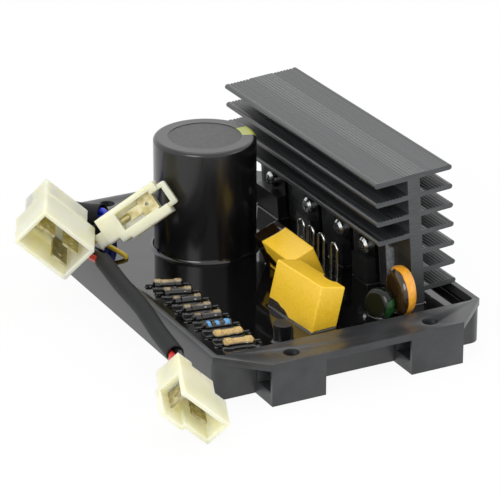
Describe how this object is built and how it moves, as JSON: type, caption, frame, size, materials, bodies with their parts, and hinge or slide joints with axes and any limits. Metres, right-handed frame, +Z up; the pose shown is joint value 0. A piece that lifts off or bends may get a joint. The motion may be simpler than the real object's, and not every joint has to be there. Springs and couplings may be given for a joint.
{
  "type": "automatic voltage regulator",
  "caption": "Generator voltage regulator: potted plastic tray with flange lugs, finned heat sink, capacitors and leads to nylon blade connectors.",
  "frame": {"origin": "middle of the tray with its flanges, at the level of its foot", "axes": "+X along the front from the leads to the heat sink, +Y to the back, +Z up out of the tray"},
  "size_m": [0.1271, 0.1652, 0.0581],
  "materials": {
    "tray_plastic": "moulded black plastic, satin",
    "potting_resin": "cast black epoxy, mirror gloss",
    "board_laminate": "bare laminate",
    "anodised_aluminium": "black anodised extrusion with grey sawn ends",
    "can_aluminium": "drawn aluminium",
    "shrink_sleeve": "black shrink sleeve, satin gloss",
    "capacitor_cover": "black cover disc",
    "tinned_wire": "tinned copper",
    "yellow_case": "yellow moulded case",
    "orange_coat": "orange dipped epoxy",
    "green_coat": "dark green dipped epoxy",
    "tan_coat": "tan resistor coating under resin",
    "blue_coat": "blue resistor coating",
    "device_epoxy": "black moulding compound",
    "device_metal": "nickel plated copper",
    "pad_silicone": "grey insulating pad",
    "screw_steel": "zinc plated steel",
    "cream_nylon": "natural nylon",
    "tinned_brass": "tinned brass",
    "charcoal_pvc": "black soft tubing",
    "red_pvc": "red lead insulation",
    "black_pvc": "black lead insulation",
    "blue_pvc": "blue lead insulation",
    "yellow_pvc": "yellow lead insulation"
  },
  "bodies": {
    "root": {"tray": "tray_plastic", "resin": "potting_resin", "circuit_board": "board_laminate", "heat_sink": "anodised_aluminium", "capacitor_can": "can_aluminium", "capacitor_sleeve": "shrink_sleeve", "capacitor_disc": "capacitor_cover", "capacitor_pins": "tinned_wire", "film_capacitor_back": "yellow_case", "film_capacitor_front": "yellow_case", "film_capacitor_legs": "tinned_wire", "disc_varistor": "orange_coat", "varistor_legs": "tinned_wire", "dipped_capacitor": "green_coat", "dipped_legs": "tinned_wire", "small_electrolytic": "shrink_sleeve", "resistor_1": "tan_coat", "resistor_2": "tan_coat", "resistor_3": "tan_coat", "resistor_4": "tan_coat", "resistor_5": "tan_coat", "resistor_6": "blue_coat", "resistor_7": "tan_coat", "resistor_8": "tan_coat", "resistor_legs": "tinned_wire", "wire_link_1": "tinned_wire", "wire_link_2": "tinned_wire", "wire_link_3": "tinned_wire", "wire_link_4": "tinned_wire", "device_1": "device_epoxy", "device_2": "device_epoxy", "device_3": "device_epoxy", "device_4": "device_epoxy", "device_tab_1": "device_metal", "device_tab_2": "device_metal", "device_tab_3": "device_metal", "device_tab_4": "device_metal", "device_pads": "pad_silicone", "device_screws": "screw_steel", "tinned_strap": "tinned_wire", "connector_a": "cream_nylon", "connector_a_terminals": "tinned_brass", "connector_b": "cream_nylon", "connector_b_terminal": "tinned_brass", "connector_c": "cream_nylon", "connector_c_terminals": "tinned_brass", "lead_sleeve_a": "charcoal_pvc", "lead_sleeve_c": "charcoal_pvc", "lead_red": "red_pvc", "lead_black": "black_pvc", "lead_blue_1": "blue_pvc", "lead_blue_2": "blue_pvc", "lead_blue_3": "blue_pvc", "lead_yellow": "yellow_pvc"}
  },
  "joints": []
}
